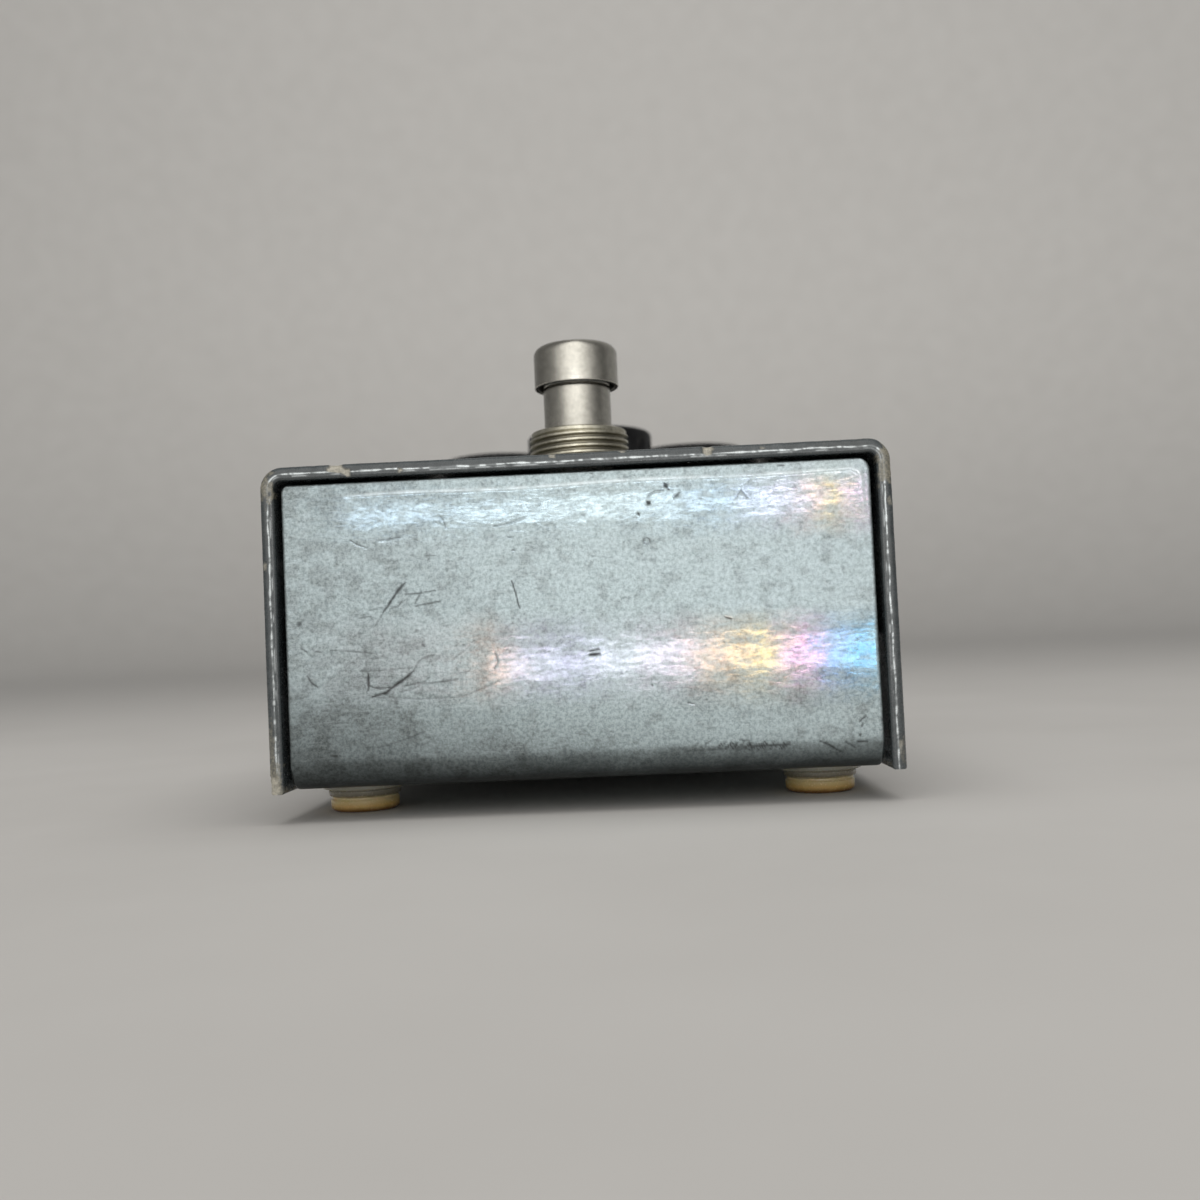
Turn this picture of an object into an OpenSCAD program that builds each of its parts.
// Stompbox sustain (compressor) pedal: folded two-piece sheet-metal case,
// latching footswitch, three rotary controls, two jacks, power inlet, board and battery.
// Units are millimetres. +Z is up, -Y is the player's side, z = 0 is the floor under the feet.
// The case is centred on x = 0, with the player's left at -X.

/* [Case] */
// Width of the cover across its side flanges
case_w = 66; // [66:0.5:72]
// Length of the cover, front edge to rear edge
case_l = 110; // [110:1:124]
// Height of the cover, flange edge to top face
case_h = 34.3; // [34.3:0.1:38]
// Sheet thickness of cover and tray
sheet_t = 1.5; // [1.3:0.1:1.6]
// Outside radius of the cover's two folds
cover_fold_r = 2.3; // [2:0.1:3]
// Outside radius of the tray's two folds
tray_fold_r = 3.2; // [2.6:0.1:3.6]
// Gap between the tray's end panels and the cover's sides
side_gap = 0.7; // [0.3:0.1:1]
// Gap between the tray's end panels and the cover's top
top_gap = 0.5; // [0.3:0.1:1]
// Radius of the upper corners of the end panels
panel_corner_r = 1.3; // [0.8:0.1:2.5]

/* [Feet] */
// How far the feet stand below the cover's flanges
foot_drop = 3.2; // [2.6:0.1:4]
// Distance of each foot from the case's centre line
foot_x = 25.7; // [22:0.1:26]
// Distance of each foot from the end of the case
foot_inset = 12; // [10:0.5:13]
// Radius of a foot's flange
foot_flange_r = 4.65; // [4.2:0.05:5]

/* [Footswitch] */
// Distance of the footswitch from the front edge
switch_inset = 20; // [19:0.5:21]
// Thread radius of the footswitch bushing
switch_thread_r = 6; // [5.9:0.05:6]
// Thread pitch of the footswitch bushing
switch_pitch = 0.75; // [0.7:0.05:1]
// How far the bushing stands above the cover
switch_proud = 5.7; // [4.5:0.1:6.5]
// Radius of the plunger's stem
stem_r = 4.05; // [3.8:0.05:4.05]
// Radius of the plunger's cap
cap_r = 5.05; // [4.8:0.05:5.4]
// Height of the plunger's cap
cap_h = 5.05; // [4.4:0.05:5.6]
// Height of the cap's lower rim above the cover, at rest
cap_rim = 10.95; // [10.5:0.05:11.5]

/* [Controls] */
// Distance of the middle control from the front edge
mid_knob_inset = 60.7; // [60:0.1:61.5]
// Distance of the two rear controls from the front edge
rear_knob_inset = 81; // [80.5:0.1:82]
// Distance of the rear controls from the centre line
rear_knob_x = 16.2; // [15:0.1:17]
// Outer radius of a knob
knob_r = 9.5; // [9:0.1:9.9]
// Height of a knob's top face above the cover
knob_top = 12.4; // [12:0.1:13.5]
// Number of grip flutes round a knob
knob_flutes = 16; // [10:1:20]

/* [Jacks] */
// Distance of the side jacks from the front edge
jack_inset = 81; // [80:0.5:82]
// Height of the jack axis above the floor
jack_z = 13.2; // [13.2:0.1:13.4]
// Radius of the plug bore in a side jack
jack_bore_r = 3.25; // [3.22:0.01:3.3]
// Radius of the plug bore in the power inlet
power_bore_r = 2.9; // [2.85:0.05:3.1]

/* [Hidden] */
$fn = 64;
hair = 0.02;                          // hairline offset between meeting faces
sides = [-1, 1];                      // signs of left and right

// heights
z_flange = foot_drop;                 // lower edge of the cover's sides
z_tray = z_flange + 0.2;              // underside of the tray
z_floor = z_tray + sheet_t;           // upper side of the tray's floor
z_top = z_flange + case_h;            // top face of the cover
z_under = z_top - sheet_t;            // underside of the cover's top

// plan positions
power_rim = 1.3;                      // how far the power inlet's rim passes the rear edge
y_front = -(case_l + power_rim) / 2;  // front edge of the cover
y_rear = y_front + case_l;
switch_y = y_front + switch_inset;
led_y = y_front + 41;
jack_y = y_front + jack_inset;
inner_x = case_w / 2 - sheet_t;       // inner face of the cover's right side

// end panels of the tray
panel_inset = 0.15;                   // from the cover's edges
tray_front = y_front + panel_inset;
tray_rear = y_rear - panel_inset;
tray_w = case_w - 2 * sheet_t - 2 * side_gap;
panel_top = z_under - top_gap;

// cover screws and the tray's side tabs that take them
screw_inset = 15;
screw_z = 11;
tab_out = inner_x - 0.05;             // outer face of a tab
tab_root_x = 28;
tab_fold_r = 2;

// circuit board
board_z = z_top - 15.4;               // underside
board_top = board_z + 1.6;
board_y0 = y_front + 58.3;
board_y1 = y_rear - 8;
board_hw = 28;                        // half width

// rotary controls, as [x, y]
sustain_at = [0, y_front + mid_knob_inset];
level_at = [-rear_knob_x, y_front + rear_knob_inset];
attack_at = [rear_knob_x, y_front + rear_knob_inset];
pots = [sustain_at, level_at, attack_at];

// radii shared by mating parts
screw_r = 1.5;
pot_thread_r = 3.5;
jack_thread_r = 4.75;
power_thread_r = 5.95;

// ---------- flat shapes and solids ----------
// rectangle from [x0, y0] to [x1, y1] whose two upper corners are rounded
module upper_round(x0, y0, x1, y1, r) {
  translate([x0, y0]) square([x1 - x0, y1 - y0 - r]);
  translate([x0 + r, y1 - r - 0.001]) square([x1 - x0 - 2 * r, r + 0.001]);
  // each corner: [x of the circle's centre, left edge of the quadrant kept]
  for (corner = [[x0 + r, x0], [x1 - r, x1 - r - 0.01]])
    intersection() {
      translate([corner[0], y1 - r]) circle(r);
      translate([corner[1], y1 - r - 0.001]) square([r + 0.01, r + 0.01]);
    }
}
// quarter ring about the origin, in the quadrant given by two signs
module quarter_ring(outer_r, inner_r, x_sign, y_sign) {
  start = -outer_r - 1;
  intersection() {
    difference() { circle(outer_r); circle(inner_r); }
    translate([x_sign > 0 ? 0 : start, y_sign > 0 ? 0 : start]) square(outer_r + 1);
  }
}
module hex(flat_r, h) { cylinder(r = flat_r / cos(30), h = h, $fn = 6); }
module ring(outer_r, inner_r, h) {
  difference() {
    cylinder(r = outer_r, h = h);
    translate([0, 0, -1]) cylinder(r = inner_r, h = h + 2);
  }
}
// hexagonal nut, 2 high, trimmed to the turned outline "edge" of [r, z] points
module chamfered_nut(flat_r, bore_r, edge) {
  difference() {
    intersection() {
      hex(flat_r, 2);
      rotate_extrude() polygon(concat([[0, 0]], edge, [[0, 2]]));
    }
    translate([0, 0, -1]) cylinder(r = bore_r, h = 4);
  }
}
// extrude a profile drawn in x, z along y
module along_y(y0, y1) {
  translate([0, y1, 0]) rotate([90, 0, 0]) linear_extrude(y1 - y0) children();
}
// extrude a profile drawn in y, z along x
module along_x(x0, x1) {
  translate([x0, 0, 0]) rotate([90, 0, 90]) linear_extrude(x1 - x0) children();
}
module box(x0, x1, y0, y1, z0, z1) {
  translate([x0, y0, z0]) cube([x1 - x0, y1 - y0, z1 - z0]);
}
// bar along x with its four long edges rounded
module rounded_x(x0, x1, y0, y1, z0, z1, r) {
  along_x(x0, x1) {
    translate([y0 + r, z0]) square([y1 - y0 - 2 * r, z1 - z0]);
    translate([y0, z0 + r]) square([y1 - y0, z1 - z0 - 2 * r]);
    for (y = [y0 + r, y1 - r]) for (z = [z0 + r, z1 - r]) translate([y, z]) circle(r);
  }
}
// outline of a screw thread drawn as stacked rings: points [r, z]
function thread_points(crest_r, root_r, z0, z1, pitch) =
  let (turns = floor((z1 - z0) / pitch))
  [for (i = [0 : turns - 1]) let (z = z0 + i * pitch)
    each [[root_r, z + 0.06], [crest_r, z + 0.3], [crest_r, z + 0.42], [root_r, z + 0.66]]];

// ---------- tubes ----------
function unit(v) = v / norm(v);
function tangent(path, i) = unit(path[min(i + 1, len(path) - 1)] - path[max(i - 1, 0)]);
// a direction square to t, safe for upright tangents too
function side_dir(t) = abs(t[2]) < 0.95 ? unit(cross(t, [0, 0, 1])) : unit(cross(t, [0, 1, 0]));
// tube swept along a list of points, with n facets round it
module tube(path, r, n = 6) {
  last = len(path) - 1;
  points = [for (i = [0 : last])
    let (t = tangent(path, i), across = side_dir(t), normal = cross(t, across))
    for (k = [0 : n - 1])
      path[i] + r * cos(360 * k / n) * across + r * sin(360 * k / n) * normal];
  walls = [for (i = [0 : last - 1]) for (k = [0 : n - 1])
    let (here = i * n, beyond = (i + 1) * n, next = (k + 1) % n)
    each [[here + k, beyond + k, here + next], [here + next, beyond + k, beyond + next]]];
  start_face = [for (k = [0 : n - 1]) k];
  end_face = [for (k = [n - 1 : -1 : 0]) last * n + k];
  polyhedron(points = points, faces = concat([start_face], walls, [end_face]), convexity = 6);
}
// Catmull-Rom curve from b to c, with neighbours a and d
function catmull_rom(a, b, c, d, t) =
  0.5 * (2 * b + (c - a) * t + (2 * a - 5 * b + 4 * c - d) * t * t
    + (3 * b - a - 3 * c + d) * t * t * t);
// smooth curve through control points, in so many steps a span
function smooth(knots, steps = 4) =
  let (last = len(knots) - 1)
  concat(
    [for (i = [0 : last - 1]) for (j = [0 : steps - 1])
      catmull_rom(knots[max(i - 1, 0)], knots[i], knots[i + 1], knots[min(i + 2, last)],
        j / steps)],
    [knots[last]]);

// ---------- case ----------
screw_y = [y_front + screw_inset, y_rear - screw_inset];

// the four cover screws, at distance x from the centre line, +z pointing out of the case
module at_screws(x) {
  for (side = sides) for (y = screw_y)
    translate([side * x, y, screw_z]) rotate([0, side * 90, 0]) children();
}
module at_feet() {
  for (side = sides) for (y = [y_front + foot_inset, y_rear - foot_inset])
    translate([side * foot_x, y, 0]) children();
}
// hole right through the cover's top
module top_hole(x, y, r) { translate([x, y, z_under - 1]) cylinder(r = r, h = sheet_t + 2); }

module cover() {
  color("slategray") difference() {
    along_y(y_front, y_rear) difference() {
      upper_round(-case_w / 2, z_flange, case_w / 2, z_top, cover_fold_r);
      upper_round(-inner_x, z_flange - 1, inner_x, z_under, cover_fold_r - sheet_t);
    }
    top_hole(0, switch_y, switch_thread_r + 0.1);
    top_hole(0, led_y, led_hole_r);
    for (p = pots) {
      top_hole(p[0], p[1], pot_thread_r + 0.1);
      top_hole(p[0], p[1] + pot_peg_y, 1.4);
    }
    for (side = sides) translate([side * case_w / 2, jack_y, jack_z])
      rotate([0, 90, 0]) cylinder(r = jack_thread_r + 0.1, h = 8, center = true);
    at_screws(case_w / 2) cylinder(r = screw_r + 0.2, h = 8, center = true);
  }
}
// floor, folds and end panels, in y, z
module tray_profile() {
  r = tray_fold_r;
  translate([tray_front + r, z_tray]) square([tray_rear - tray_front - 2 * r, sheet_t]);
  for (y = [tray_front, tray_rear - sheet_t])
    translate([y, z_tray + r]) square([sheet_t, panel_top - z_tray - r]);
  translate([tray_front + r, z_tray + r]) quarter_ring(r, r - sheet_t, -1, -1);
  translate([tray_rear - r, z_tray + r]) quarter_ring(r, r - sheet_t, 1, -1);
}
// side tab folded up from the floor, in x, z
module tab_profile(side) {
  r = tab_fold_r;
  translate([side > 0 ? tab_root_x : -tab_out + r, z_tray])
    square([tab_out - tab_root_x - r, sheet_t]);
  translate([side * (tab_out - r), z_tray + r]) quarter_ring(r, r - sheet_t, side, -1);
  translate([side > 0 ? tab_out - sheet_t : -tab_out, z_tray + r]) square([sheet_t, 12]);
}
module base_tray() {
  notch = [13, 14, 8];                // clears the floor's edge round each tab
  tab_hw = 6;
  color("silver") difference() {
    union() {
      difference() {
        intersection() {
          along_x(-tray_w / 2, tray_w / 2) tray_profile();
          along_y(y_front - 1, y_rear + 1)
            upper_round(-tray_w / 2, z_tray - 1, tray_w / 2, panel_top, panel_corner_r);
        }
        for (side = sides) for (y = screw_y)
          translate([side * (tab_root_x + notch[0] / 2), y, z_tray]) cube(notch, center = true);
      }
      for (side = sides) for (y = screw_y) along_y(y - tab_hw, y + tab_hw) tab_profile(side);
    }
    at_screws(tab_out) cylinder(r = 2.2, h = 8, center = true);
    at_feet() translate([0, 0, z_tray - 1]) cylinder(r = 2.05, h = 4);
    translate([0, tray_rear, jack_z]) rotate([90, 0, 0])
      cylinder(r = power_thread_r + 0.1, h = 8, center = true);
  }
}
module clinch_nuts() {
  color("silver") at_screws(tab_out - sheet_t) difference() {
    union() {
      translate([0, 0, -2]) cylinder(r = 3.2, h = 2);
      translate([0, 0, -0.01]) cylinder(r = 2.15, h = 1.31);
    }
    translate([0, 0, -3]) cylinder(r = screw_r + 0.05, h = 6);
  }
}
// domed screws with a cross recess
module cover_screws() {
  color("dimgray") at_screws(case_w / 2) difference() {
    union() {
      translate([0, 0, -6]) cylinder(r = screw_r, h = 6.01);
      intersection() {
        cylinder(r = 2.85, h = 1.75);
        translate([0, 0, -1.6]) sphere(r = 3.35);
      }
    }
    for (a = [0, 90]) rotate([0, 0, a]) translate([0, 0, 1.55]) cube([2.9, 0.62, 1.5], center = true);
  }
}
// turned foot whose neck passes through the tray's floor to a head above it
module foot() {
  rim = foot_flange_r;
  rotate_extrude() polygon([
    [0, 0], [rim - 1.25, 0], [rim - 0.85, 0.35],
    [rim - 0.8, z_tray - 1.75], [rim - 0.95, z_tray - 1.6], [rim - 0.95, z_tray - 0.95],
    [rim, z_tray - 0.8], [rim, z_tray], [2, z_tray],
    [2, z_floor + 0.05], [2.55, z_floor + 0.2], [1.5, z_floor + 1.6], [0, z_floor + 1.6]]);
}
module rubber_feet() { color("khaki") at_feet() foot(); }

// ---------- footswitch ----------
z_housing = z_under - 5.3;            // top of the switch housing
z_shoulder = z_housing - 1.4;         // underside of the stem's shoulder
z_shelf = z_housing - 7.1;            // shelf under the spring
z_pivot = z_housing - 9.3;            // axis of the rocker
z_well = z_housing - 11;              // floor inside the housing
z_cap = z_top + cap_rim;              // lower rim of the cap
frame_t = 0.8;                        // thickness of the frame's plate
housing_hw = 8.6;                     // half width of the housing, outside
well_hw = 7.2;                        // half width inside
lug_columns = [-4.6, 0, 4.6];         // x
lug_rows = [-4.2, 0, 4.2];            // y
rocker_tilt = 7;                      // at rest, degrees

module at_switch() { translate([0, switch_y, 0]) children(); }

module footswitch_bushing() {
  z0 = z_housing + frame_t;
  z1 = z_top + switch_proud;
  color("silver") at_switch() difference() {
    rotate_extrude() polygon(concat(
      [[0, z0], [6.6, z0], [6.6, z0 + 0.9], [5.5, z0 + 0.9]],
      thread_points(switch_thread_r, switch_thread_r - 0.45, z0 + 1.2, z1 - 0.7, switch_pitch),
      [[5.5, z1 - 0.5], [5.35, z1], [0, z1]]));
    translate([0, 0, z0 - 1]) cylinder(r = stem_r + 0.05, h = 20);
  }
}
module footswitch_frame() {
  ear_t = 0.5;
  plate_hw = 9.15;
  color("silver") at_switch() difference() {
    union() {
      box(-plate_hw, plate_hw, -housing_hw, housing_hw, z_housing, z_housing + frame_t);
      for (x = [-plate_hw, plate_hw - ear_t])
        box(x, x + ear_t, -4, 4, z_housing - 9, z_housing + 0.01);
    }
    translate([0, 0, z_housing - 1]) cylinder(r = stem_r + 0.2, h = 4);
  }
}
module footswitch_housing() {
  shelf_hw = well_hw + 0.05;
  color("royalblue") at_switch() difference() {
    union() {
      difference() {
        box(-housing_hw, housing_hw, -housing_hw, housing_hw, z_well - 1, z_housing - hair);
        box(-well_hw, well_hw, -well_hw, well_hw, z_well, z_housing + 1);
      }
      box(-shelf_hw, shelf_hw, -shelf_hw, shelf_hw, z_shelf - 0.7, z_shelf);
      // posts that carry the rocker's pivot
      for (side = sides)
        box(side * 6.5 - 0.75, side * 6.5 + 0.75, -1.2, 1.2, z_well - 0.1, z_housing - 8.9);
    }
    translate([0, 0, z_housing - 9]) cylinder(r = 2, h = 3);
    translate([0, 0, z_pivot]) rotate([0, 90, 0]) cylinder(r = 0.68, h = 15, center = true);
    for (x = lug_columns) for (y = lug_rows)
      box(x - 1.15, x + 1.15, y - 0.5, y + 0.5, z_well - 2, z_well + 1);
  }
}
// height along the spring as a fraction, with closely wound ends
function coil_rise(f) =
  f < 0.12 ? f * 0.25 : f > 0.88 ? 1 - (1 - f) * 0.25 : 0.03 + (f - 0.12) / 0.76 * 0.94;
module footswitch_spring() {
  steps = 20 * 3.5;                   // 20 to a turn, 3.5 turns
  z0 = z_shelf + 0.37;
  z1 = z_shoulder - 0.34;
  path = [for (i = [0 : steps]) let (a = 18 * i)
    [3.1 * cos(a), 3.1 * sin(a), z0 + (z1 - z0) * coil_rise(i / steps)]];
  color("gainsboro") at_switch() tube(path, 0.3, 8);
}
module footswitch_stem() {
  top = z_cap + cap_h - 1.5;
  color("silver") at_switch() rotate_extrude() polygon([
    [0, z_housing - 4.3], [1.6, z_housing - 4.3], [1.6, z_shoulder], [4.9, z_shoulder],
    [4.9, z_housing - 0.1], [stem_r, z_housing - 0.1], [stem_r, z_cap - 0.1],
    [stem_r - 0.12, z_cap - 0.05], [stem_r - 0.12, z_cap + 0.1], [stem_r - 0.05, z_cap + 0.15],
    [stem_r - 0.05, top - 0.2], [stem_r - 0.25, top], [0, top]]);
}
module footswitch_cap() {
  top = z_cap + cap_h;
  edge_r = 1.1;                       // rounding of the upper edge
  color("silver") at_switch() rotate_extrude() polygon(concat(
    [[0, top - 1.45], [stem_r, top - 1.45], [stem_r, z_cap + 1.2], [cap_r - 0.45, z_cap + 1.1],
      [cap_r - 0.45, z_cap + 0.05], [cap_r - 0.35, z_cap], [cap_r - 0.08, z_cap],
      [cap_r, z_cap + 0.1]],
    [for (a = [0 : 15 : 90])
      [cap_r - edge_r + edge_r * cos(a), top - edge_r + edge_r * sin(a)]],
    [[0, top + 0.02]]));
}
// the rocker's own frame: the pivot runs along x through the origin
module at_rocker() {
  at_switch() translate([0, 0, z_pivot]) rotate([-rocker_tilt, 0, 0]) children();
}
module footswitch_rocker() {
  color("ivory") at_rocker() difference() {
    union() {
      translate([-5.6, -4.5, -0.6]) cube([11.2, 9, 1.2]);
      rotate([0, 90, 0]) cylinder(r = 0.62, h = 14, center = true);
    }
    for (x = [-2.3, 2.3]) translate([x - 0.5, -5, -1]) cube([1, 3.2, 2]);
  }
}
module footswitch_blades() {
  color("goldenrod") at_rocker()
    for (x = [-4.2, 0, 4.2]) translate([x - 1, -4.3, -0.87]) cube([2, 8.6, 0.24]);
}
// solder lugs, each with a contact on top; the middle row's contacts stand taller
module footswitch_lugs() {
  z_contact = z_well + hair;
  color("silver") at_switch() for (x = lug_columns) for (y = lug_rows) difference() {
    union() {
      box(x - 1.1, x + 1.1, y - 0.4, y + 0.4, z_well - 6, z_contact);
      translate([x, y, z_contact]) cylinder(r = 0.95, h = y == 0 ? 0.62 : 0.25);
    }
    translate([x, y, z_well - 4.4]) rotate([90, 0, 0]) cylinder(r = 0.6, h = 3, center = true);
  }
}
module footswitch_outer_nut() {
  color("silver") at_switch() translate([0, 0, z_top])
    chamfered_nut(7, switch_thread_r + 0.02, [[8.1, 0], [8.1, 1.5], [7.1, 2]]);
}
module footswitch_inner_nut() {
  color("silver") at_switch() translate([0, 0, z_under - 2.6])
    chamfered_nut(7, switch_thread_r + 0.02, [[7.1, 0], [8.1, 0.5], [8.1, 2]]);
}
module footswitch_lock_washer() {
  color("silver") at_switch() translate([0, 0, z_under - 0.6]) difference() {
    cylinder(r = 9, h = 0.6);
    translate([0, 0, -1]) cylinder(r = switch_thread_r + 0.1, h = 3);
    for (a = [0 : 36 : 324]) rotate([0, 0, a]) translate([6.6, -0.5, -1]) cube([1.2, 1, 3]);
  }
}

// ---------- rotary controls ----------
pot_washer_t = 0.5;
z_pot = z_under - pot_washer_t;       // front face of a potentiometer
pot_r = 8;
pot_peg_y = -6.7;                     // peg that stands in a small hole in the cover
pot_pins = [-5, 0, 5];                // x of the terminals
pot_pin_y = 9.6;
shaft_r = 3;
set_screw_z = z_top + 7.8;
insert_r = 4.2;                       // bore in the knob for its insert

module at_pots() { for (p = pots) translate([p[0], p[1], 0]) children(); }
// turned so the pointer starts straight ahead, away from the player
module on_pot(at) { translate([at[0], at[1], 0]) rotate([0, 0, 180]) children(); }

module pot_cans() {
  color("silver") at_pots() difference() {
    translate([0, 0, z_pot - 9]) cylinder(r = pot_r, h = 7.9);
    translate([0, 0, z_pot - 8.5]) cylinder(r = pot_r - 0.6, h = 9);
    box(-6.6, 6.6, 3.2, 9, z_pot - 2.7, z_pot);
  }
}
module pot_bushings() {
  r = pot_thread_r;
  color("silver") at_pots() difference() {
    union() {
      translate([0, 0, z_pot - 1.1]) cylinder(r = pot_r, h = 1.1);
      rotate_extrude() polygon([[0, z_pot - 1], [r, z_pot - 1], [r, z_pot + 6.1],
        [r - 0.35, z_pot + 6.5], [0, z_pot + 6.5]]);
      translate([0, pot_peg_y, z_pot - 0.5]) cylinder(r = 1.2, h = 2);
    }
    translate([0, 0, z_pot - 3]) cylinder(r = shaft_r + 0.04, h = 14);
  }
}
module pot_tracks() {
  color("saddlebrown") at_pots() translate([0, 0, z_pot - 2.6]) ring(7.3, 3.3, 1);
}
// terminals run rearward from the can, then down through the board
module pot_terminals() {
  y0 = pot_pin_y - 0.2;
  y1 = pot_pin_y + 0.2;
  color("silver") at_pots() for (x = pot_pins) {
    box(x - 0.6, x + 0.6, 4, y1, z_pot - 1.58, z_pot - 1.18);
    box(x - 0.6, x + 0.6, y0, y1, board_top + 0.6, z_pot - 1.2);
    box(x - 0.4, x + 0.4, y0, y1, board_z - 0.9, board_top + 0.7);
  }
}
module pot_nuts() {
  color("silver") at_pots() translate([0, 0, z_top + pot_washer_t])
    chamfered_nut(5, pot_thread_r + 0.02, [[5.8, 0], [5.8, 1.6], [5.1, 2]]);
}
// one above and one below the cover's top
module pot_washers() {
  color("silver") at_pots() {
    translate([0, 0, z_top]) ring(5.6, pot_thread_r + 0.15, pot_washer_t);
    translate([0, 0, z_pot]) ring(5.3, pot_thread_r + 0.15, pot_washer_t);
  }
}
// shaft with its disc and small peg inside the can, and a flat at the upper end
module shaft() {
  z0 = z_pot - 5.3;
  difference() {
    union() {
      translate([0, 0, z0]) cylinder(r = shaft_r, h = z_top + 10.7 - z0);
      translate([0, 0, z_pot - 4.9]) cylinder(r = 6.6, h = 1.9);
      translate([0, 5.6, z_pot - 3.1]) cylinder(r = 0.5, h = 0.45);
    }
    box(-4, 4, 2.5, 4, z_top + 4.7, z_top + 12);
  }
}
// bore along +y for the set screw
module set_screw_hole(r) { translate([0, 0, set_screw_z]) rotate([-90, 0, 0]) cylinder(r = r, h = 12); }
// knob with its pointer groove towards -y
module knob() {
  z0 = z_top + 0.8;
  z1 = z_top + knob_top;
  r = knob_r;
  groove_hw = 0.4;
  difference() {
    rotate_extrude() polygon([
      [0, z0], [r - 0.5, z0], [r, z0 + 0.4],
      [r, z1 - 0.85], [r - 0.12, z1 - 0.4], [r - 0.5, z1 - 0.08], [r - 0.9, z1],
      [r - 2, z1], [r - 2.3, z1 - 0.3], [0, z1 - 0.3]]);
    for (i = [0 : knob_flutes - 1]) rotate([0, 0, 90 + (i + 0.5) * 360 / knob_flutes])
      translate([r + 0.62, 0, z0 - 1]) cylinder(r = 1.05, h = z1 - z0 - 1.2);
    translate([0, 0, z0 - 1]) cylinder(r = 7.4, h = 3.9);
    translate([0, 0, z0]) cylinder(r = insert_r, h = z_top + 11 - z0);
    set_screw_hole(1.55);
    box(-groove_hw, groove_hw, -12, -3, z1 - 0.75, z1 + 1);
    box(-groove_hw, groove_hw, -12, -r + 0.35, z0 + 0.8, z1);
  }
}
module knob_insert() {
  difference() {
    translate([0, 0, z_top + 4.8]) cylinder(r = insert_r - 0.02, h = 6.1);
    translate([0, 0, z_top + 3]) difference() {
      cylinder(r = shaft_r + 0.02, h = 9);
      box(-4, 4, 2.53, 4, 0, 12);
    }
    set_screw_hole(1.52);
  }
}
module set_screw() {
  difference() {
    translate([0, 2.52, set_screw_z]) rotate([-90, 0, 0]) cylinder(r = 1.48, h = 4.6);
    translate([0, 6.1, set_screw_z]) rotate([-90, 0, 0]) hex(0.75, 3);
  }
}
module sustain_shaft() { color("silver") on_pot(sustain_at) shaft(); }
module level_shaft() { color("silver") on_pot(level_at) shaft(); }
module attack_shaft() { color("silver") on_pot(attack_at) shaft(); }
module sustain_knob() { color("#1a1a1c") on_pot(sustain_at) knob(); }
module level_knob() { color("#1a1a1c") on_pot(level_at) knob(); }
module attack_knob() { color("#1a1a1c") on_pot(attack_at) knob(); }
module sustain_knob_insert() { color("goldenrod") on_pot(sustain_at) knob_insert(); }
module level_knob_insert() { color("goldenrod") on_pot(level_at) knob_insert(); }
module attack_knob_insert() { color("goldenrod") on_pot(attack_at) knob_insert(); }
module sustain_set_screw() { color("dimgray") on_pot(sustain_at) set_screw(); }
module level_set_screw() { color("dimgray") on_pot(level_at) set_screw(); }
module attack_set_screw() { color("dimgray") on_pot(attack_at) set_screw(); }

// ---------- indicator ----------
led_hole_r = 4;
lens_r = 2.5;
led_lead_x = 1.27;

module led_lens() {
  color("crimson") translate([0, led_y, 0]) union() {
    translate([0, 0, z_under - 6]) cylinder(r = 2.9, h = 1);
    translate([0, 0, z_under - 5.01]) cylinder(r = lens_r, h = 6.51);
    translate([0, 0, z_top]) intersection() {
      sphere(r = lens_r);
      translate([0, 0, -0.01]) cylinder(r = 3, h = 3);
    }
    for (x = [-led_lead_x, led_lead_x])
      box(x - 0.25, x + 0.25, -0.25, 0.25, z_under - 8.6, z_under - 5.99);
  }
}
module led_bezel() {
  neck_r = led_hole_r - 0.05;
  bore_r = lens_r + 0.05;
  color("silver") translate([0, led_y, 0]) difference() {
    rotate_extrude() polygon([
      [0, z_under - 5], [3.6, z_under - 5], [3.9, z_under - 4.6], [3.9, z_under - 1.3],
      [4.25, z_under - 0.9], [4.25, z_under - hair], [neck_r, z_under - hair],
      [neck_r, z_top], [5.2, z_top], [5.2, z_top + 0.5], [4.1, z_top + 1.7], [0, z_top + 1.7]]);
    translate([0, 0, z_under - 6]) cylinder(r = bore_r, h = 20);
    rotate_extrude()
      polygon([[0, z_top + 0.7], [bore_r, z_top + 0.7], [3.4, z_top + 2], [0, z_top + 2]]);
  }
}

// ---------- side jacks ----------
// drawn with +x pointing out of the case and x = 0 on the cover's inner face;
// the input jack, on the right, has a lower and an upper arm, the output jack only a lower one
jack_plate_t = 1.2;
jack_washer_t = 0.6;
jack_end_x = -13.4;                   // inner end of an arm
rivet_x = -9;                         // rivet through an arm's stack
rivet_r = 1;
contact_z = -5.8;                     // underside of the lower arm's contact strip
contact_t = 0.4;

module at_jack(side) {
  translate([side * inner_x, jack_y, jack_z])
    if (side > 0) children(); else mirror([1, 0, 0]) children();
}
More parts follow.
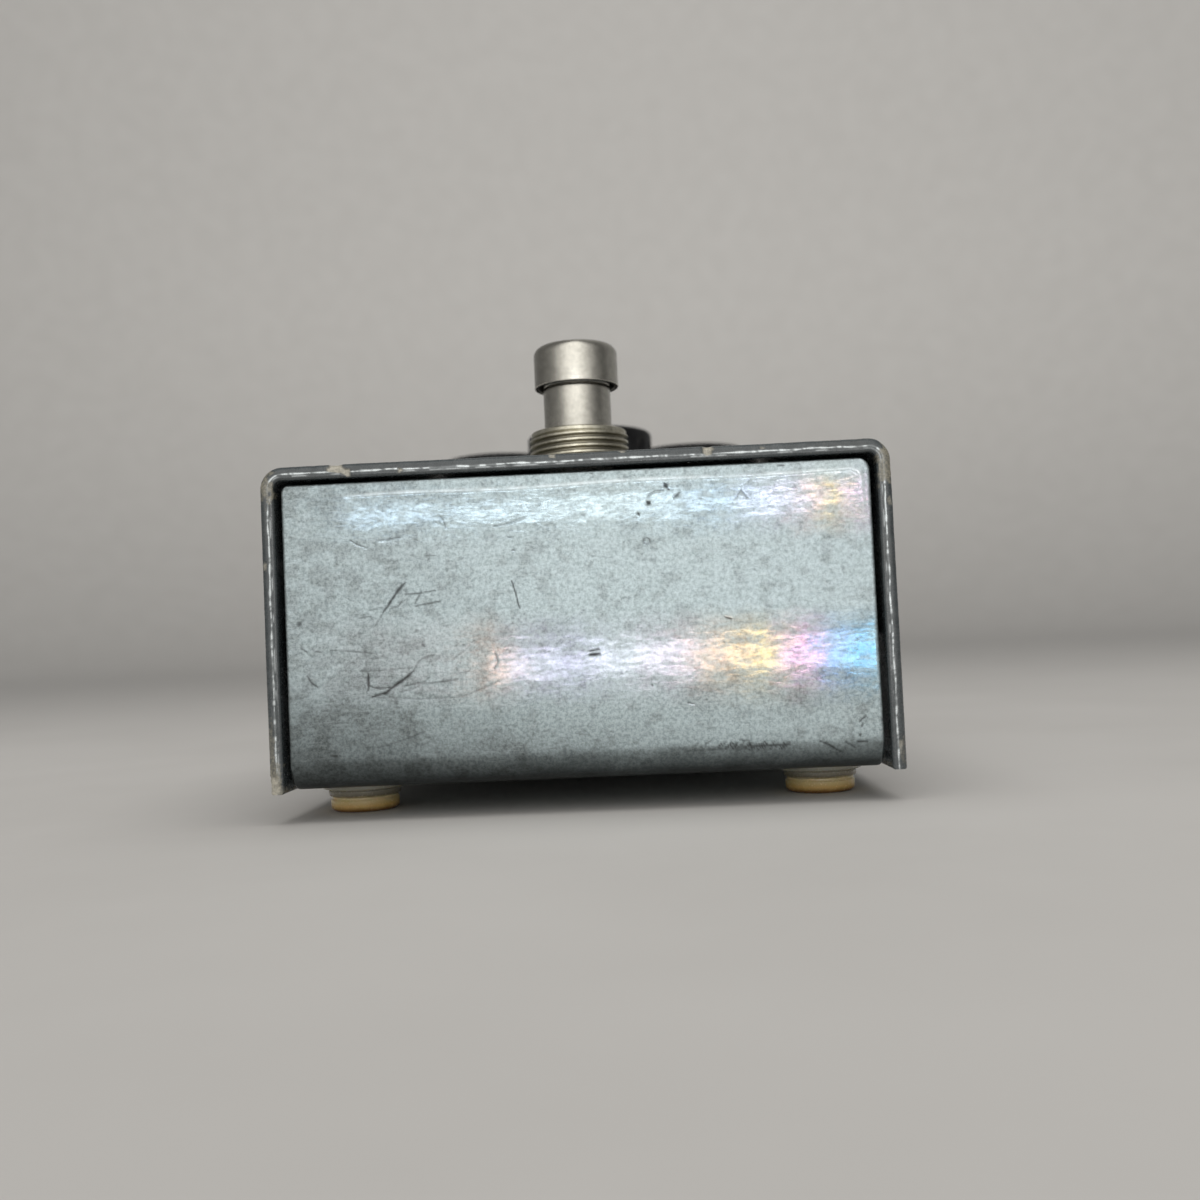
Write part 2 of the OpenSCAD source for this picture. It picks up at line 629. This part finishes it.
// the lower arm's part, and its mirror image above when there are two arms
module arms(count) {
  children();
  if (count > 1) mirror([0, 0, 1]) children();
}
module rivet_hole(z) { translate([rivet_x, 0, z]) cylinder(r = rivet_r + 0.06, h = 3); }
module jack_arm() {
  translate([jack_end_x, -4, -8]) cube([13, 8, jack_plate_t]);
  translate([rivet_x, 0, -7]) cylinder(r = rivet_r, h = 2.6);
  translate([rivet_x, 0, -4.4]) cylinder(r = 1.8, h = 0.5);
}
module jack_bushing(arm_count) {
  difference() {
    union() {
      translate([-jack_plate_t, -8, -8]) cube([jack_plate_t, 16, 16]);
      rotate([0, 90, 0]) cylinder(r = jack_thread_r, h = 5.3);
      translate([-4, 0, 0]) rotate([0, 90, 0]) cylinder(r = 4.5, h = 4.1);
      arms(arm_count) jack_arm();
    }
    translate([-6, 0, 0]) rotate([0, 90, 0]) cylinder(r = jack_bore_r, h = 14);
  }
}
// insulating plates below and above the contact strip
module jack_insulators(arm_count) {
  arms(arm_count) for (z = [-6.8, -5.4]) difference() {
    translate([-13, -4, z]) cube([8, 8, 1]);
    rivet_hole(z - 1);
  }
}
// contact strip with a solder tag that reaches forward
module jack_terminals(arm_count) {
  arms(arm_count) difference() {
    union() {
      translate([jack_end_x, -2, contact_z]) cube([8.4, 4, contact_t]);
      translate([-10.3, -8, contact_z]) cube([2.6, 6.1, contact_t]);
    }
    rivet_hole(-7);
    translate([rivet_x, -6.9, -7]) cylinder(r = 0.7, h = 3);
  }
}
// contact leaf: runs inwards to bend_x, then turns towards the jack's axis up to bow_z
module leaf(bend_x, bow_z) {
  root_x = jack_end_x - 0.05;
  along_y(-2, 2) polygon([
    [root_x, contact_z], [bend_x, contact_z], [bend_x - 2, bow_z - 0.4],
    [bend_x - 3.4, bow_z - 1.4], [bend_x - 3.7, bow_z - 1.1], [bend_x - 2, bow_z],
    [bend_x + 0.25, contact_z + contact_t], [root_x, contact_z + contact_t]]);
}
module tip_leaf() { leaf(-19, -2); }

module input_jack_bushing() { color("silver") at_jack(1) jack_bushing(2); }
module input_jack_insulators() { color("saddlebrown") at_jack(1) jack_insulators(2); }
module input_jack_terminals() { color("silver") at_jack(1) jack_terminals(2); }
module input_tip_spring() { color("silver") at_jack(1) tip_leaf(); }
module input_ring_spring() { color("silver") at_jack(1) mirror([0, 0, 1]) leaf(-16, -2.6); }
module output_jack_bushing() { color("silver") at_jack(-1) jack_bushing(1); }
module output_jack_insulators() { color("saddlebrown") at_jack(-1) jack_insulators(1); }
module output_jack_terminals() { color("silver") at_jack(-1) jack_terminals(1); }
module output_tip_spring() { color("silver") at_jack(-1) tip_leaf(); }
module jack_nuts() {
  color("silver") for (side = sides) at_jack(side)
    translate([sheet_t + jack_washer_t, 0, 0]) rotate([0, 90, 0])
      chamfered_nut(6.35, jack_thread_r + 0.02, [[7.4, 0], [7.4, 1.6], [6.5, 2]]);
}
module jack_washers() {
  color("silver") for (side = sides) at_jack(side)
    translate([sheet_t, 0, 0]) rotate([0, 90, 0]) ring(7.1, jack_thread_r + 0.05, jack_washer_t);
}

// ---------- power inlet ----------
// drawn with +z pointing out of the rear panel and z = 0 on the panel's outer face
module at_power() { translate([0, tray_rear, jack_z]) rotate([-90, 0, 0]) children(); }

module power_jack_body() {
  rim_h = panel_inset + power_rim;
  color("dimgray") at_power() difference() {
    union() {
      translate([0, 0, -15.5]) cylinder(r = 5.2, h = 11);
      translate([0, 0, -5]) cylinder(r = power_thread_r, h = 5.01);
      rotate_extrude() polygon([[0, 0], [7.2, 0], [7.2, 0.9], [6.7, rim_h], [0, rim_h]]);
    }
    translate([0, 0, -9]) cylinder(r = power_bore_r, h = 14);
    translate([0, 0, -17]) cylinder(r = 1.1, h = 10);
  }
}
// centre pin and two solder tags
module power_jack_contacts() {
  color("silver") at_power() {
    rotate_extrude()
      polygon([[0, -17.5], [1.05, -17.5], [1.05, 0.3], [0.6, 0.9], [0, 0.9]]);
    for (x = [-3.8, 3.4]) translate([x, -1.1, -19]) cube([0.4, 2.2, 3.48]);
  }
}
module power_jack_nut() {
  color("silver") at_power() translate([0, 0, -sheet_t - 2 - hair]) difference() {
    hex(6.8, 2);
    translate([0, 0, -1]) cylinder(r = power_thread_r + 0.02, h = 4);
  }
}

// ---------- circuit board ----------
// parts hang from the underside, at [x, y from the board's front edge]
chips = [[-13, 5.5], [13, 5.5]];
can_capacitors = [[-24.3, 2.1], [24.3, 10.7], [-24, 40.5], [24, 40.5], [-24.3, 10.7]];
film_capacitors = [[-13.5, 42.35], [13.5, 42.35], [-4.2, 17], [3.8, 17]];
resistors = [for (x = [-19, 7.4]) for (i = [0 : 4]) [x + 2.9 * i, 36.95]];

module on_board(places) {
  for (at = places) translate([at[0], board_y0 + at[1], board_z]) children();
}
module circuit_board() {
  color("darkgreen") difference() {
    box(-board_hw, board_hw, board_y0, board_y1, board_z, board_top);
    for (p = pots) for (x = pot_pins)
      translate([p[0] + x, p[1] + pot_pin_y, board_z - 1]) cylinder(r = 0.75, h = 4);
    for (side = sides) for (y = [board_y0 + 2.6, board_y1 - 2.6])
      translate([side * (board_hw - 1.9), y, board_z - 1]) cylinder(r = 1.1, h = 4);
  }
}
module board_chips() {
  color("#222") on_board(chips) {
    translate([-4.8, -3.2, -3.9]) cube([9.6, 6.4, 3.3]);
    for (x = [-3.81 : 2.54 : 3.81]) for (side = sides)
      translate([x - 0.25, side * 3.8 - 0.6, -2.4]) cube([0.5, 1.2, 2.4]);
  }
}
module board_capacitors() {
  color("navy") {
    on_board(can_capacitors) translate([0, 0, -8.6]) cylinder(r = 2.5, h = 8.6);
    on_board(film_capacitors) translate([-3.5, -1.2, -6.5]) cube([7, 2.4, 6.5]);
  }
}
module board_resistors() {
  axis_z = -1.3;
  lead_r = 0.3;
  color("tan") on_board(resistors) {
    translate([0, 0, axis_z]) rotate([90, 0, 0]) cylinder(r = 1.05, h = 5, center = true);
    for (side = sides) {
      translate([0, side * 3.1, axis_z]) rotate([90, 0, 0])
        cylinder(r = lead_r, h = 1.6, center = true);
      translate([0, side * 3.6, -1.6]) cylinder(r = lead_r, h = 1.6);
    }
  }
}

// ---------- battery ----------
bat_x0 = -29.5;
bat_x1 = 19;                          // terminal end
bat_y0 = y_front + 30.6;
bat_y1 = bat_y0 + 26.5;
bat_z0 = z_floor + 0.8;
bat_z1 = bat_z0 + 17.5;
bat_mid_z = (bat_z0 + bat_z1) / 2;
// terminals, front then rear: y, radius, height
bat_terminals = [
  [(bat_y0 + bat_y1) / 2 - 6.35, 2.9, 2.6],
  [(bat_y0 + bat_y1) / 2 + 6.35, 4.1, 2.2]];

module battery() {
  color("dimgray") {
    rounded_x(bat_x0, bat_x1, bat_y0, bat_y1, bat_z0, bat_z1, 2);
    for (t = bat_terminals)
      translate([bat_x1 - 0.01, t[0], bat_mid_z]) rotate([0, 90, 0]) cylinder(r = t[1], h = t[2]);
  }
}
module battery_snap() {
  color("#222") difference() {
    rounded_x(bat_x1 + 0.1, bat_x1 + 6, bat_y0 + 1.4, bat_y1 - 1.4,
      bat_mid_z - 6.3, bat_mid_z + 6.3, 3);
    for (t = bat_terminals)
      translate([bat_x1 - 1, t[0], bat_mid_z]) rotate([0, 90, 0]) cylinder(r = t[1] + 0.1, h = 3.9);
  }
}
// two leads from the snap's outer face up to the board
module battery_leads() {
  x = bat_x1 + 6.05;
  y = bat_terminals[1][0];
  z = bat_mid_z;
  color("firebrick") for (i = [0, 1]) tube(smooth([
    [x, y - 1 - 3 * i, z + 2],
    [x + 1.6, y - 0.6 - 3 * i, z + 2.4],
    [x + 3.2 - 1.1 * i, y + 2.5 - 2 * i, z + 4.5],
    [x + 3.4 - 1.3 * i, y + 6, z + 9],
    [x + 2.6 - 1.4 * i, board_y0 + 1.2, board_top + 2.4],
    [x + 1.2 - 2.2 * i, board_y0 + 2.9 + i, board_top + 0.6]]), 0.5);
}
module battery_foam() {
  color("#333") box(bat_x0, bat_x1, bat_y0, bat_y1, z_floor, bat_z0 - hair);
}

// ---------- wiring ----------
// right half of the ribbon, as [x at the lugs, x along the ribbon]
ribbon = [[0.75, 1.1], [3.9, 3.3], [5.3, 5.5]];

// from the footswitch over the battery to the board
module ribbon_wire(lug_x, x) {
  tube(smooth([
    [lug_x, switch_y + 4.2, z_housing - 17.5],
    [x, switch_y + 6.4, z_housing - 18.4],
    [x, bat_y0 - 0.92, z_housing - 15.5],
    [x, bat_y0 - 0.92, z_housing - 9],
    [x, bat_y0 + 1.2, bat_z1 + 0.95],
    [x, bat_y1 - 4, bat_z1 + 0.95],
    [x, board_y0 - 0.2, board_top + 0.75],
    [x, board_y0 + 1.7, board_top + 0.52]]), 0.42);
}
// from the indicator to the board
module led_wire(x) {
  tube(smooth([
    [x, led_y, z_under - 8.66],
    [x, led_y + 0.9, z_under - 9.9],
    [x, led_y + 3.2, bat_z1 + 2.35],
    [x, bat_y1 - 3, bat_z1 + 2.2],
    [x, board_y0 + 2.2, board_top + 1.9],
    [x, board_y0 + 4.4, board_top + 0.4]]), 0.32);
}
// from a side jack to the board
module jack_wire(side) {
  tube(smooth([
    [side * (inner_x - 9), jack_y - 8.55, jack_z - 5.6],
    [side * (inner_x - 9), jack_y - 9.6, jack_z - 4.4],
    [side * (inner_x - 10), jack_y - 10.4, jack_z + 1],
    [side * (inner_x - 11.5), jack_y - 10.2, board_z - 0.5]]), 0.45);
}
// from the power inlet to the board
module power_wire(side) {
  tube(smooth([
    [side * 3.6, tray_rear - 19.3, jack_z],
    [side * 3.9, tray_rear - 20.2, jack_z + 1.6],
    [side * 3.9, tray_rear - 20.4, board_z - 3],
    [side * 3.9, tray_rear - 20.4, board_z - 0.5]]), 0.45);
}
module hookup_wires() {
  color("whitesmoke") for (side = sides) {
    for (wire = ribbon) ribbon_wire(side * wire[0], side * wire[1]);
    led_wire(side * led_lead_x);
    jack_wire(side);
    power_wire(side);
  }
}

cover();
base_tray();
clinch_nuts();
cover_screws();
rubber_feet();
footswitch_bushing();
footswitch_frame();
footswitch_housing();
footswitch_spring();
footswitch_stem();
footswitch_cap();
footswitch_rocker();
footswitch_blades();
footswitch_lugs();
footswitch_outer_nut();
footswitch_inner_nut();
footswitch_lock_washer();
pot_cans();
pot_bushings();
pot_tracks();
pot_terminals();
pot_nuts();
pot_washers();
sustain_shaft();
level_shaft();
attack_shaft();
sustain_knob();
level_knob();
attack_knob();
sustain_knob_insert();
level_knob_insert();
attack_knob_insert();
sustain_set_screw();
level_set_screw();
attack_set_screw();
led_lens();
led_bezel();
input_jack_bushing();
input_jack_insulators();
input_jack_terminals();
input_tip_spring();
input_ring_spring();
output_jack_bushing();
output_jack_insulators();
output_jack_terminals();
output_tip_spring();
jack_nuts();
jack_washers();
power_jack_body();
power_jack_contacts();
power_jack_nut();
circuit_board();
board_chips();
board_capacitors();
board_resistors();
battery();
battery_snap();
battery_leads();
battery_foam();
hookup_wires();
